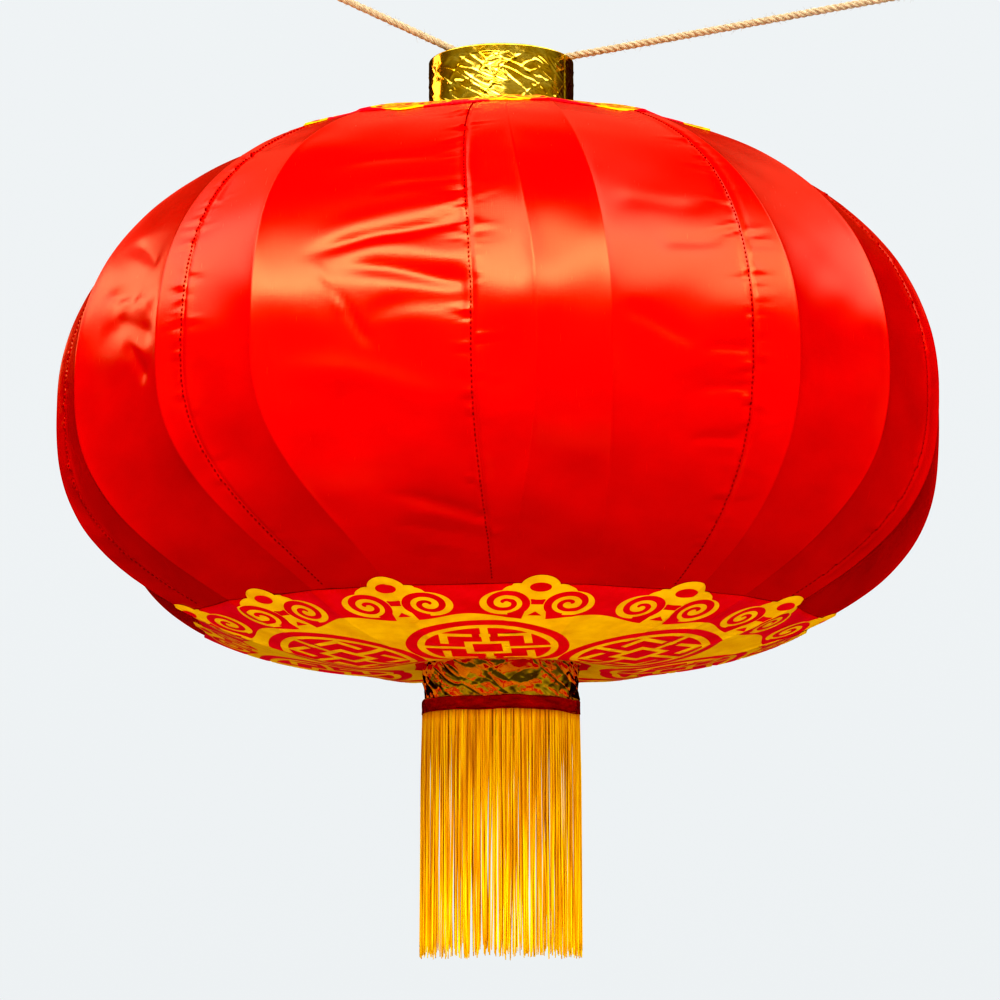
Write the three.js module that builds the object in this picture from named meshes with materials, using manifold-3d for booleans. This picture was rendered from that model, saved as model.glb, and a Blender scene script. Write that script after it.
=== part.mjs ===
import * as THREE from "three";
import { mergeVertices } from "three/addons/utils/BufferGeometryUtils.js";
import Module from "manifold-3d";

// Hanging festival lantern: a squashed globe of red satin on sixteen spring-wire ribs, with foil
// collars, a fringe and the rope it hangs from.
// Millimetres, +Z up, front towards -Y. The origin is the bottom of the rope's V, where the ring hangs.
// Azimuths are degrees from the front, growing towards +X.

const GAP = 0.3;
const SHEET = 0.5;

// Body: two flattened domes that meet at the waist, each a little dished round its mouth.
const WAIST_RADIUS = 301;
const WAIST_Z = -243;
const TOP_DOME = { side: 1, height: 204, fullness: 2.05, dish: 7 };
const BOTTOM_DOME = { side: -1, height: 182, fullness: 2.6, dish: 14 };
const DISH_RADIUS = 105;
const MOUTH_RADIUS = 45.5;
const TOP_MEDALLION_RADIUS = 152;
const BOTTOM_MEDALLION_RADIUS = 218;
const MEDALLION_BANDS = 4;
const GORE_BANDS = 9;

// Ribs and seams lean a little, so each has an azimuth at the waist, at the top and at the bottom.
const LEAN_REACH = 0.6;
const RIB_WIRE_RADIUS = 0.9;
const RIB_HOOK_RADIUS = 3;
const RIB_HOOK_STEPS = 4;
const RIBS = [
  { waist: -84, top: -84, bottom: -70 },
  { waist: -66, top: -70, bottom: -52 },
  { waist: -45, top: -49, bottom: -32 },
  { waist: -30, top: -34, bottom: -18 },
  { waist: 4, top: 1, bottom: 1.5 },
  { waist: 12.5, top: 11, bottom: 14 },
  { waist: 37, top: 35, bottom: 33.5 },
  { waist: 54, top: 56, bottom: 44 },
  { waist: 72, top: 74.5, bottom: 59.5 },
  { waist: 92, top: 94, bottom: 82 },
  { waist: 116, top: 116, bottom: 108 },
  { waist: 141, top: 140, bottom: 136 },
  { waist: 166, top: 166, bottom: 164 },
  { waist: 192, top: 193, bottom: 190 },
  { waist: 219, top: 220, bottom: 217 },
  { waist: 248, top: 249, bottom: 252 },
];
const SEAMS = [
  { waist: -79, top: -78, bottom: -63 },
  { waist: -41, top: -46, bottom: -29 },
  { waist: -3.3, top: -6, bottom: -1 },
  { waist: 31.5, top: 33, bottom: 29.5 },
  { waist: 69, top: 71, bottom: 56 },
  { waist: 104, top: 104, bottom: 95 },
  { waist: 136, top: 135, bottom: 130 },
  { waist: 172, top: 172, bottom: 171 },
  { waist: 208, top: 208, bottom: 206 },
  { waist: 244, top: 245, bottom: 244 },
];

// Hoops, crossbars and tie rod.
const HOOP_RADIUS = 47;
const HOOP_WIRE_RADIUS = 1.5;
const CROSSBAR = { length: 2 * (HOOP_RADIUS - HOOP_WIRE_RADIUS - GAP), width: 9, thickness: 1.5 };
const TOP_CROSSBAR_AZIMUTH = -25;
const BOTTOM_CROSSBAR_AZIMUTH = -8;
const ROD_RADIUS = 1.5;
const ROD_TAIL = 2;
const ROD_STOP = { radius: 4, height: 6 };

// Collars, foil and fringe.
const RIM_Z = 3;
const COLLAR_WALL = 2;
const TOP_COLLAR_RADIUS = 49.6;
const BOTTOM_COLLAR_RADIUS = 50.6;
const BOTTOM_RIM_Z = -451.5;
const FOIL_TURN_IN = 15;
const TRIM_THICKNESS = 0.6;
const BAND = { top: -440, bottom: -450 };
const HEADING = { top: -441, bottom: -461 };
const SKIRT = { top: -474, bottom: -613, topRadius: 52.4, bottomRadius: 55, thickness: 1.2 };

// Rope and hanging ring.
const ROPE_RADIUS = 2.75;
const ROPE_ROUTE = [
  [-132, 60.5], [-100, 45.3], [-70, 31.1], [-40, 16.85], [-20, 7.35], [-8.6, 1.93], [-4, 0.4],
  [0, 0], [3.7, 0.35], [20, 3.43], [60, 11], [120, 22.3], [200, 37.45], [270, 50.7], [345, 64.85],
];
const ROPE_LOOP_RADIUS = 12;
const RING = { radius: 9.75, wire: 1.75 };
const EYE_RADIUS = 6.5;
const HANGING_CLEARANCE = 0.4;

// How finely the round pieces are faceted.
const RIB_SIDES = 5;
const HOOP_SIDES = 6;
const HOOP_STEPS = 48;
const COLLAR_SIDES = 40;
const STOP_SIDES = 16;
const SHANK_SIDES = 12;
const BAR_END_STEPS = 8;
const RING_SIDES = 8;
const RING_STEPS = 24;
const ROPE_SIDES = 8;
const ROPE_STEPS = 60;
const ROPE_LOOP_STEPS = 20;

// The turn, in degrees, past the last rib where azimuths are counted from the first rib again.
const WRAP_TURN = 270;
const LEVEL_STEP = 0.001;

const wasm = await Module();
wasm.setup();

const lantern = new THREE.Group();

const RED_SATIN = { color: 0xe60a08, roughness: 0.4, metalness: 0 };
const PRINTED_CLOTH = { color: 0xb01018, roughness: 0.6, metalness: 0 };
const GOLD_FOIL = { color: 0xd9a514, roughness: 0.25, metalness: 1 };
const CARD = { color: 0xb8a27c, roughness: 0.9, metalness: 0 };
const STEEL_WIRE = { color: 0x8b8d90, roughness: 0.4, metalness: 1 };
const RED_TAPE = { color: 0x7c0408, roughness: 0.3, metalness: 0 };
const YELLOW_YARN = { color: 0xe8a512, roughness: 0.7, metalness: 0 };
const JUTE = { color: 0xc8a478, roughness: 0.9, metalness: 0 };

function addPiece(name, geometry, look) {
  const mesh = new THREE.Mesh(geometry, new THREE.MeshStandardMaterial(look));
  mesh.name = name;
  lantern.add(mesh);
  return mesh;
}

// Places in the body

function domeOf(level) {
  return level >= 0 ? TOP_DOME : BOTTOM_DOME;
}

// The height of the cloth's outer face above a given radius.
function domeHeight(dome, radius) {
  const share = Math.min(radius / WAIST_RADIUS, 1);
  const rise = dome.height * (1 - share ** dome.fullness) ** (1 / dome.fullness);
  const inside = Math.max(0, 1 - (radius / DISH_RADIUS) ** 2);
  return WAIST_Z + dome.side * (rise - dome.dish * inside ** 2);
}

// A level runs from -1 at the bottom pole through 0 at the waist to 1 at the top pole.
function radiusAt(level) {
  return WAIST_RADIUS * Math.cos(level * Math.PI / 2) ** (2 / domeOf(level).fullness);
}

function levelAt(dome, radius) {
  const angle = Math.acos((radius / WAIST_RADIUS) ** (dome.fullness / 2));
  return dome.side * angle / (Math.PI / 2);
}

// A point of the body's section, set in from the cloth's outer face along its normal.
function sectionPoint(level, inset) {
  const above = levelPoint(level + LEVEL_STEP);
  const below = levelPoint(level - LEVEL_STEP);
  const along = above.sub(below).normalize();
  return levelPoint(level).add(new THREE.Vector2(-along.y, along.x).multiplyScalar(inset));
}

function levelPoint(level) {
  const radius = radiusAt(level);
  return new THREE.Vector2(radius, domeHeight(domeOf(level), radius));
}

function azimuthAt(line, level) {
  const end = level >= 0 ? line.top : line.bottom;
  return line.waist + (end - line.waist) * THREE.MathUtils.smoothstep(Math.abs(level), 0, LEAN_REACH);
}

function place(radius, azimuth, z) {
  const angle = THREE.MathUtils.degToRad(azimuth);
  return new THREE.Vector3(radius * Math.sin(angle), -radius * Math.cos(angle), z);
}

// The cloth is stretched straight from rib to rib, so its radius drops between them.
function clothPoint(level, azimuth, inset) {
  const section = sectionPoint(level, inset);
  const turns = RIBS.map((rib) => azimuthAt(rib, level));
  const left = turns.filter((turn) => turn <= azimuth).pop() ?? turns[turns.length - 1] - 360;
  const right = turns.find((turn) => turn > azimuth) ?? turns[0] + 360;
  const half = THREE.MathUtils.degToRad((right - left) / 2);
  const off = THREE.MathUtils.degToRad(azimuth - (left + right) / 2);
  return place(section.x * Math.cos(half) / Math.cos(off), azimuth, section.y);
}

function levelsBetween(first, last, bands) {
  return Array.from({ length: bands + 1 }, (_, i) => first + (last - first) * i / bands);
}

const TOP_EDGE = levelAt(TOP_DOME, TOP_MEDALLION_RADIUS);
const BOTTOM_EDGE = levelAt(BOTTOM_DOME, BOTTOM_MEDALLION_RADIUS);
const TOP_LEVELS = levelsBetween(TOP_EDGE, levelAt(TOP_DOME, MOUTH_RADIUS), MEDALLION_BANDS);
const BOTTOM_LEVELS = levelsBetween(levelAt(BOTTOM_DOME, MOUTH_RADIUS), BOTTOM_EDGE, MEDALLION_BANDS);
const GORE_LEVELS = levelsBetween(BOTTOM_EDGE, TOP_EDGE, GORE_BANDS);

// Closed shells, wires and rings

// A closed sheet from rows of outer and inner points; rows go up, and points go to the right.
// Outer and inner faces are split along the same diagonals, so the sheet stays as thick all over.
function sheetGeometry(outer, inner, isRing) {
  const rows = outer.length;
  const columns = outer[0].length;
  const points = [...outer.flat(), ...inner.flat()];
  const index = [];
  const out = (i, j) => i * columns + j % columns;
  const back = (i, j) => rows * columns + out(i, j);
  const quad = (a, b, c, d) => index.push(a, b, c, a, c, d);
  const spans = isRing ? columns : columns - 1;
  for (let j = 0; j < spans; j += 1) {
    for (let i = 0; i < rows - 1; i += 1) {
      quad(out(i, j), out(i, j + 1), out(i + 1, j + 1), out(i + 1, j));
      quad(back(i, j), back(i + 1, j), back(i + 1, j + 1), back(i, j + 1));
    }
    quad(out(0, j + 1), out(0, j), back(0, j), back(0, j + 1));
    quad(out(rows - 1, j), out(rows - 1, j + 1), back(rows - 1, j + 1), back(rows - 1, j));
  }
  if (!isRing) {
    const end = columns - 1;
    for (let i = 0; i < rows - 1; i += 1) {
      quad(out(i, 0), out(i + 1, 0), back(i + 1, 0), back(i, 0));
      quad(out(i + 1, end), out(i, end), back(i, end), back(i + 1, end));
    }
  }
  const geometry = new THREE.BufferGeometry().setFromPoints(points);
  geometry.setIndex(index);
  return geometry;
}

function roundSection(radius, sides) {
  const corners = Array.from({ length: sides }, (_, i) => {
    const angle = 2 * Math.PI * i / sides;
    return new THREE.Vector2(radius * Math.cos(angle), radius * Math.sin(angle));
  });
  return new THREE.Shape(corners);
}

// A path straight from station to station, with one extrusion step for each.
class StationPath extends THREE.Curve {
  constructor(stations) {
    super();
    this.stations = stations;
  }

  getPoint(t) {
    const spot = t * (this.stations.length - 1);
    const i = Math.min(Math.floor(spot), this.stations.length - 2);
    return this.stations[i].clone().lerp(this.stations[i + 1], spot - i);
  }

  getUtoTmapping(u) {
    return u;
  }
}

function wireGeometry(path, steps, radius, sides) {
  return new THREE.ExtrudeGeometry(roundSection(radius, sides), { steps, extrudePath: path });
}

// A band of revolution from a closed outline of [radius, z] corners.
function bandGeometry(outline, sides) {
  const corners = [...outline, outline[0]].map(([radius, z]) => new THREE.Vector2(radius, z));
  return new THREE.LatheGeometry(corners, sides).rotateX(Math.PI / 2);
}

function tubeOutline(innerRadius, outerRadius, low, high) {
  return [[innerRadius, low], [outerRadius, low], [outerRadius, high], [innerRadius, high]];
}

function toSolid(geometry) {
  const plain = new THREE.BufferGeometry();
  plain.setAttribute("position", geometry.getAttribute("position"));
  plain.setIndex(geometry.getIndex());
  const merged = mergeVertices(plain, 1e-4);
  return new wasm.Manifold(new wasm.Mesh({
    numProp: 3,
    vertProperties: new Float32Array(merged.getAttribute("position").array),
    triVerts: new Uint32Array(merged.getIndex().array),
  }));
}

function fromSolid(solid) {
  const mesh = solid.getMesh();
  const geometry = new THREE.BufferGeometry();
  geometry.setAttribute("position", new THREE.BufferAttribute(mesh.vertProperties, 3));
  geometry.setIndex(new THREE.BufferAttribute(mesh.triVerts, 1));
  return geometry;
}

// Cloth

function clothRow(level, azimuths, inset) {
  return azimuths.map((azimuth) => clothPoint(level, azimuth, inset));
}

function addMedallion(name, levels) {
  const azimuths = (level) => RIBS.map((rib) => azimuthAt(rib, level));
  const outer = levels.map((level) => clothRow(level, azimuths(level), 0));
  const inner = levels.map((level) => clothRow(level, azimuths(level), SHEET));
  addPiece(name, sheetGeometry(outer, inner, true), PRINTED_CLOTH);
}

// A gore runs between two seams; the gap to its neighbours is turned into a small angle or level.
function addGore(name, left, right) {
  const halfGap = THREE.MathUtils.radToDeg(GAP / 2 / BOTTOM_MEDALLION_RADIUS);
  const levelGap = GAP / (WAIST_RADIUS * Math.PI / 2) * 2;
  const levels = [...GORE_LEVELS];
  levels[0] += levelGap;
  levels[levels.length - 1] -= levelGap;
  const crossed = RIBS.filter((rib) => {
    const turn = rib.waist < left.waist ? rib.waist + 360 : rib.waist;
    return turn > left.waist && turn < right.waist;
  });
  const azimuths = (level) => {
    const start = azimuthAt(left, level) + halfGap;
    const ribTurns = crossed.map((rib) => azimuthAt(rib, level));
    const unwound = ribTurns.map((turn) => (turn < start ? turn + 360 : turn));
    const turns = [start, ...unwound.sort((a, b) => a - b), azimuthAt(right, level) - halfGap];
    return turns.map(wrapTurn);
  };
  const outer = levels.map((level) => clothRow(level, azimuths(level), 0));
  const inner = levels.map((level) => clothRow(level, azimuths(level), SHEET));
  addPiece(name, sheetGeometry(outer, inner, false), RED_SATIN);
}

function wrapTurn(azimuth) {
  return azimuth >= WRAP_TURN ? azimuth - 360 : azimuth;
}

// Frame

function hoopHeight(dome) {
  const inset = SHEET + GAP + RIB_WIRE_RADIUS;
  return sectionPoint(levelAt(dome, HOOP_RADIUS), inset).y - dome.side * RIB_HOOK_RADIUS;
}

// A rib's end passes over its hoop and hooks round the inside of it.
function hookStations(dome, azimuth) {
  const centre = hoopHeight(dome);
  return Array.from({ length: RIB_HOOK_STEPS + 1 }, (_, i) => {
    const angle = Math.PI / 2 + Math.PI * i / RIB_HOOK_STEPS;
    const radius = HOOP_RADIUS + RIB_HOOK_RADIUS * Math.cos(angle);
    return place(radius, azimuth, centre + dome.side * RIB_HOOK_RADIUS * Math.sin(angle));
  });
}

function addRib(name, rib) {
  const inset = SHEET + GAP + RIB_WIRE_RADIUS;
  const levels = [...BOTTOM_LEVELS.slice(1, -1), ...GORE_LEVELS, ...TOP_LEVELS.slice(1, -1)];
  const arch = levels.map((level) => {
    const section = sectionPoint(level, inset);
    return place(section.x, azimuthAt(rib, level), section.y);
  });
  const bottomHook = hookStations(BOTTOM_DOME, rib.bottom).reverse();
  const stations = [...bottomHook, ...arch, ...hookStations(TOP_DOME, rib.top)];
  const path = new StationPath(stations);
  addPiece(name, wireGeometry(path, stations.length - 1, RIB_WIRE_RADIUS, RIB_SIDES), STEEL_WIRE);
}

function addHoop(name, dome) {
  const hoop = new THREE.TorusGeometry(HOOP_RADIUS, HOOP_WIRE_RADIUS, HOOP_SIDES, HOOP_STEPS);
  addPiece(name, hoop, STEEL_WIRE).position.z = hoopHeight(dome);
}

// The height of a crossbar's lower face. Each bar spans its hoop inside, joined to it at both ends.
function crossbarHeight(dome) {
  return hoopHeight(dome) - CROSSBAR.thickness / 2;
}

function addCrossbar(name, dome, azimuth) {
  const outline = new THREE.Shape();
  const end = CROSSBAR.length / 2 - CROSSBAR.width / 2;
  outline.absarc(end, 0, CROSSBAR.width / 2, -Math.PI / 2, Math.PI / 2);
  outline.absarc(-end, 0, CROSSBAR.width / 2, Math.PI / 2, 3 * Math.PI / 2);
  outline.holes.push(new THREE.Path().absarc(0, 0, ROD_RADIUS + GAP, 0, 2 * Math.PI, true));
  const options = { depth: CROSSBAR.thickness, bevelEnabled: false, curveSegments: BAR_END_STEPS };
  const bar = addPiece(name, new THREE.ExtrudeGeometry(outline, options), STEEL_WIRE);
  bar.position.z = crossbarHeight(dome);
  bar.rotation.z = THREE.MathUtils.degToRad(azimuth - 90);
}

// A stop is crimped on the rod against the outer face of its crossbar.
function stopSpan(dome) {
  const low = crossbarHeight(dome);
  const near = dome.side > 0 ? low + CROSSBAR.thickness + GAP : low - GAP;
  const far = near + dome.side * ROD_STOP.height;
  return [Math.min(near, far), Math.max(near, far)];
}

function addRodStop(name, dome) {
  const [low, high] = stopSpan(dome);
  const outline = tubeOutline(ROD_RADIUS + GAP, ROD_STOP.radius, low, high);
  addPiece(name, bandGeometry(outline, STOP_SIDES), STEEL_WIRE);
}

const ringCentre = ROPE_RADIUS + HANGING_CLEARANCE - (RING.radius - RING.wire);
const ringSeat = ringCentre - (RING.radius - RING.wire);
const eyeCentre = ringSeat + HANGING_CLEARANCE - (EYE_RADIUS - ROD_RADIUS);

function addTieRod() {
  const top = eyeCentre - EYE_RADIUS;
  const bottom = stopSpan(BOTTOM_DOME)[0] - ROD_TAIL;
  const shank = new THREE.CylinderGeometry(ROD_RADIUS, ROD_RADIUS, top - bottom, SHANK_SIDES);
  shank.rotateX(Math.PI / 2).translate(0, 0, (top + bottom) / 2);
  const eye = new THREE.TorusGeometry(EYE_RADIUS, ROD_RADIUS, RING_SIDES, RING_STEPS);
  eye.rotateX(Math.PI / 2).translate(0, 0, eyeCentre);
  addPiece("tie_rod", fromSolid(toSolid(shank).add(toSolid(eye))), STEEL_WIRE);
}

// Collars and fringe

const TOP_COLLAR_BASE = domeHeight(TOP_DOME, TOP_COLLAR_RADIUS) + 2 * GAP;
const BOTTOM_COLLAR_TOP = domeHeight(BOTTOM_DOME, BOTTOM_COLLAR_RADIUS) - 3 * GAP;

function addCollar(name, radius, low, high) {
  const outline = tubeOutline(radius - COLLAR_WALL, radius, low, high);
  addPiece(name, bandGeometry(outline, COLLAR_SIDES), CARD);
}

// Foil covers a collar outside, turns over its rim and ends inside it.
function addFoil(name, radius, base, rim) {
  const way = Math.sign(rim - base);
  const outside = radius + GAP + SHEET;
  const inside = radius - COLLAR_WALL - GAP - SHEET;
  const turnIn = rim - way * FOIL_TURN_IN;
  const lip = rim - way * SHEET;
  const outline = [
    [outside, base], [outside, rim], [inside, rim], [inside, turnIn],
    [inside + SHEET, turnIn], [inside + SHEET, lip], [outside - SHEET, lip], [outside - SHEET, base],
  ];
  addPiece(name, bandGeometry(way > 0 ? outline : outline.reverse(), COLLAR_SIDES), GOLD_FOIL);
}

function addFringe() {
  const headingRadius = BOTTOM_COLLAR_RADIUS + GAP + SHEET + GAP;
  const bandRadius = headingRadius + TRIM_THICKNESS + GAP;
  const heading = tubeOutline(headingRadius, headingRadius + TRIM_THICKNESS, HEADING.bottom, HEADING.top);
  const band = tubeOutline(bandRadius, bandRadius + TRIM_THICKNESS, BAND.bottom, BAND.top);
  const skirt = [
    [SKIRT.bottomRadius - SKIRT.thickness, SKIRT.bottom], [SKIRT.bottomRadius, SKIRT.bottom],
    [SKIRT.topRadius, SKIRT.top], [SKIRT.topRadius - SKIRT.thickness, SKIRT.top],
  ];
  addPiece("fringe_heading", bandGeometry(heading, COLLAR_SIDES), YELLOW_YARN);
  addPiece("fringe_band", bandGeometry(band, COLLAR_SIDES), RED_TAPE);
  addPiece("fringe_skirt", bandGeometry(skirt, COLLAR_SIDES), YELLOW_YARN);
}

// Rope and ring

function addRope() {
  const route = new THREE.CatmullRomCurve3(ROPE_ROUTE.map(([x, z]) => new THREE.Vector3(x, 0, z)));
  addPiece("hanging_rope", wireGeometry(route, ROPE_STEPS, ROPE_RADIUS, ROPE_SIDES), JUTE);
  const reach = ROPE_LOOP_RADIUS + ROPE_RADIUS + GAP;
  const ends = [["left_rope_loop", 0, -reach], ["right_rope_loop", 1, reach]];
  for (const [name, t, offset] of ends) {
    const loop = new THREE.TorusGeometry(ROPE_LOOP_RADIUS, ROPE_RADIUS, ROPE_SIDES, ROPE_LOOP_STEPS);
    const centre = route.getPoint(t).add(route.getTangent(t).multiplyScalar(offset));
    addPiece(name, loop.rotateX(Math.PI / 2), JUTE).position.copy(centre);
  }
}

function addRing() {
  const ring = new THREE.TorusGeometry(RING.radius, RING.wire, RING_SIDES, RING_STEPS);
  addPiece("hanging_ring", ring.rotateY(Math.PI / 2), STEEL_WIRE).position.z = ringCentre;
}

addRope();
addRing();
addTieRod();
addRodStop("rod_top_stop", TOP_DOME);
addRodStop("rod_bottom_stop", BOTTOM_DOME);
addCrossbar("top_crossbar", TOP_DOME, TOP_CROSSBAR_AZIMUTH);
addCrossbar("bottom_crossbar", BOTTOM_DOME, BOTTOM_CROSSBAR_AZIMUTH);
addHoop("top_hoop", TOP_DOME);
addHoop("bottom_hoop", BOTTOM_DOME);
RIBS.forEach((rib, i) => addRib(`rib_${String(i + 1).padStart(2, "0")}`, rib));
addMedallion("top_medallion", TOP_LEVELS);
addMedallion("bottom_medallion", BOTTOM_LEVELS);
SEAMS.forEach((seam, i) => {
  const next = SEAMS[(i + 1) % SEAMS.length];
  const right = i + 1 < SEAMS.length ? next : turnedOn(next);
  addGore(`satin_gore_${String(i + 1).padStart(2, "0")}`, seam, right);
});
addCollar("top_collar", TOP_COLLAR_RADIUS, TOP_COLLAR_BASE, RIM_Z - GAP - SHEET);
addCollar("bottom_collar", BOTTOM_COLLAR_RADIUS, BOTTOM_RIM_Z + GAP + SHEET, BOTTOM_COLLAR_TOP);
addFoil("top_foil", TOP_COLLAR_RADIUS, TOP_COLLAR_BASE, RIM_Z);
addFoil("bottom_foil", BOTTOM_COLLAR_RADIUS, BOTTOM_COLLAR_TOP, BOTTOM_RIM_Z);
addFringe();

// The first seam again, one whole turn further on.
function turnedOn(line) {
  return { waist: line.waist + 360, top: line.top + 360, bottom: line.bottom + 360 };
}

export default lantern;
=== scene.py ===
import math

import bpy
import numpy as np
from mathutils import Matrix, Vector, noise
from mathutils.geometry import delaunay_2d_cdt
from numpy.random import default_rng


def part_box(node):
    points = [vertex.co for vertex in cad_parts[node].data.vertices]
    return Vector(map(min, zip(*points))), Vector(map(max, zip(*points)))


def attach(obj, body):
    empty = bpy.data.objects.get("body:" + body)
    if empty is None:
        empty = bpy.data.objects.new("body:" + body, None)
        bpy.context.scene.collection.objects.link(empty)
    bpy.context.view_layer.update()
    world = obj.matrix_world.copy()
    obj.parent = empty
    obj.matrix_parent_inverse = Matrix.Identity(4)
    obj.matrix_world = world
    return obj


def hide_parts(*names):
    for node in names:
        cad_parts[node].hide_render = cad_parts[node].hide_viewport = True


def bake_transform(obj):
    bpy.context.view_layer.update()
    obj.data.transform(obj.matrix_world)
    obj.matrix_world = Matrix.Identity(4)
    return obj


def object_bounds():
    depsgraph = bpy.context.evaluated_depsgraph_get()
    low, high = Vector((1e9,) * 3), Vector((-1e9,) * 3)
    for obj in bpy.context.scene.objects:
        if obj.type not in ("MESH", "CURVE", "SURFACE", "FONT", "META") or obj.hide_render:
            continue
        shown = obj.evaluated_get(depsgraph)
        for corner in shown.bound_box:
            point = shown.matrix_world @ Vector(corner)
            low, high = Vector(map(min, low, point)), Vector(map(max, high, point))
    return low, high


# Hanging festival lantern: red satin gores stretched over spring-wire ribs, printed medallions,
# crinkled foil on card collars, a yarn fringe and the jute rope that it hangs from.
# Metres in the row frame: +Z up, front towards -Y, azimuths in degrees from the front towards +X.

MM = 0.001

# The body's section, as the CAD model has it.
WAIST_RADIUS = 0.301
WAIST_Z = -0.243
TOP_FULLNESS, BOTTOM_FULLNESS = 2.05, 2.6
TOP_HEIGHT, BOTTOM_HEIGHT = 0.204, 0.182
TOP_DISH, BOTTOM_DISH = 0.007, 0.014
DISH_RADIUS = 0.105
MOUTH_RADIUS = 0.0455
# Where the gores end. The bottom print ends there too, and the top one reaches past it.
TOP_EDGE_RADIUS = 0.152
BOTTOM_EDGE_RADIUS = 0.218
TOP_PRINT_RADIUS = 0.164
# The level by which a line has leant all the way over to its azimuth at an end.
LEAN_REACH = 0.6

# Each rib and seam: its azimuth at the waist, at the top and at the bottom.
RIBS = np.array([
    (-84, -84, -70), (-66, -70, -52), (-45, -49, -32), (-30, -34, -18), (4, 1, 1.5),
    (12.5, 11, 14), (37, 35, 33.5), (54, 56, 44), (72, 74.5, 59.5), (92, 94, 82),
    (116, 116, 108), (141, 140, 136), (166, 166, 164), (192, 193, 190), (219, 220, 217),
    (248, 249, 252),
], dtype=float)
SEAMS = np.array([
    (-79, -78, -63), (-41, -46, -29), (-3.3, -6, -1), (31.5, 33, 29.5), (69, 71, 56),
    (104, 104, 95), (136, 135, 130), (172, 172, 171), (208, 208, 206), (244, 245, 244),
], dtype=float)

# How the cloth lies: a hollow between ribs as a share of its width, a groove at each seam with a
# shoulder beside it, a ridge on each rib, and how far each of them holds the cloth still.
BOW_SHARE = 0.030
SEAM_GROOVE = 0.55 * MM
SEAM_GROOVE_WIDTH = 0.9 * MM
SEAM_OVERLAP = 0.45 * MM
SEAM_SHOULDER = 0.25 * MM
SEAM_SHOULDER_PLACE = 3.4 * MM
SEAM_SHOULDER_WIDTH = 2 * MM
SEAM_HOLD = 5 * MM
PUCKER_HOLD = 1.6 * MM
PUCKERS = 34
LEFT_PUCKERING, RIGHT_PUCKERING = 1.1, 1.8
UNEVEN_SLOPE = 0.0019
GATHER_DEPTH = 0.22 * MM
GATHER_REACH = 16 * MM
STITCH_SIDE = 1.5 * MM
STITCH_PITCH = 3.2 * MM
RIB_RIDGE = 0.1 * MM
RIB_RIDGE_WIDTH = 2.6 * MM
RIB_HOLD = 6 * MM
UNDERLAP = 5 * MM
UNDERLAP_DROP = 0.3 * MM
MEDALLION_LIFT = 0.5 * MM
MEDALLION_EDGE_LIFT = 0.22 * MM
MEDALLION_RIPPLE = 0.07 * MM
MEDALLION_RIPPLE_REACH = 22 * MM
MEDALLION_RIDGE = 0.35 * MM
MEDALLION_RIDGE_WIDTH = 1.6 * MM
MEDALLION_STEP = 3.4 * MM
COLUMN_STEP = 2.4 * MM
GORE_ROWS = 170

# Random draws. Each gore, seam or medallion adds its own number to the first four.
UNEVEN_SEED, GATHER_SEED, PUCKER_SEED, RIPPLE_SEED = 100, 200, 300, 400
STRAND_SEED, BAND_SEED, FIBRE_SEED = 11, 21, 31

# Soft folds in the gores: azimuth and level of each end, then width and depth in millimetres. A
# level runs from -1 at the bottom pole through 0 at the waist to 1 at the top pole.
FOLDS = [
    (-24.0, 0.150, -4.6, 0.215, 5.0, -2.2), (-23.6, 0.185, -4.8, 0.262, 8.0, 1.5),
    (-20.2, 0.118, -4.2, 0.082, 5.5, -1.7), (-19.8, 0.160, -4.0, 0.130, 8.0, 1.3),
    (-22.2, 0.094, -16.0, -0.012, 2.6, -0.8), (-23.4, 0.128, -19.2, 0.030, 2.2, 0.8),
    (-16.4, 0.026, -3.6, 0.050, 7.0, -1.0), (-26.8, -0.045, -4.6, -0.100, 9.0, 1.2),
    (-24.6, 0.376, -6.0, 0.398, 5.0, -0.8), (-17.8, 0.290, -4.8, 0.310, 4.0, -0.9),
    (-14.8, -0.296, -1.6, -0.346, 3.6, -1.1), (-14.8, -0.372, -1.2, -0.410, 3.4, -1.2),
    (-13.0, -0.335, -1.4, -0.378, 3.0, 1.0), (-15.2, -0.456, -1.0, -0.498, 3.4, -1.3),
    (-12.0, -0.420, -1.0, -0.452, 3.0, 1.0), (-60.0, 0.075, -46.5, 0.040, 7.0, -1.6),
    (-58.0, 0.115, -47.5, 0.100, 6.0, 1.4), (-54.0, 0.030, -48.0, -0.020, 5.0, -1.2),
    (13.5, 0.022, 24.0, -0.006, 6.0, -0.8), (24.0, -0.080, 30.8, -0.062, 3.0, -1.0),
    (23.0, -0.176, 30.6, -0.154, 3.0, -1.1), (24.0, -0.020, 30.9, -0.008, 3.0, -0.9),
    (-20.0, -0.500, -2.5, -0.525, 5.0, -3.2), (-48.0, -0.545, -36.0, -0.575, 5.0, -3.2),
    (-26.0, -0.420, -31.0, -0.600, 5.0, -2.4), (20.0, -0.470, 31.0, -0.450, 6.0, -1.4),
    (-63.0, 0.270, -50.0, 0.200, 6.0, -1.5), (-62.0, 0.150, -52.0, 0.120, 5.0, -1.3),
    (29.0, 0.270, 15.0, 0.250, 7.0, -0.8), (30.0, 0.200, 20.0, 0.160, 6.0, -0.9),
]

# Foil: the plain turned band below its rim, how far it is tucked inside, and where its end lies.
FOIL_LIP = 6.2 * MM
FOIL_LIP_STEP = 0.3 * MM
FOIL_TUCK = 15 * MM
FOIL_WALL = 3.6 * MM
FOIL_END_AZIMUTH = math.radians(61)
FOIL_END_STEP = 0.5 * MM
FOIL_ROWS, FOIL_COLUMNS = 70, 460
FOIL_SLANT = math.radians(34)

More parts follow.
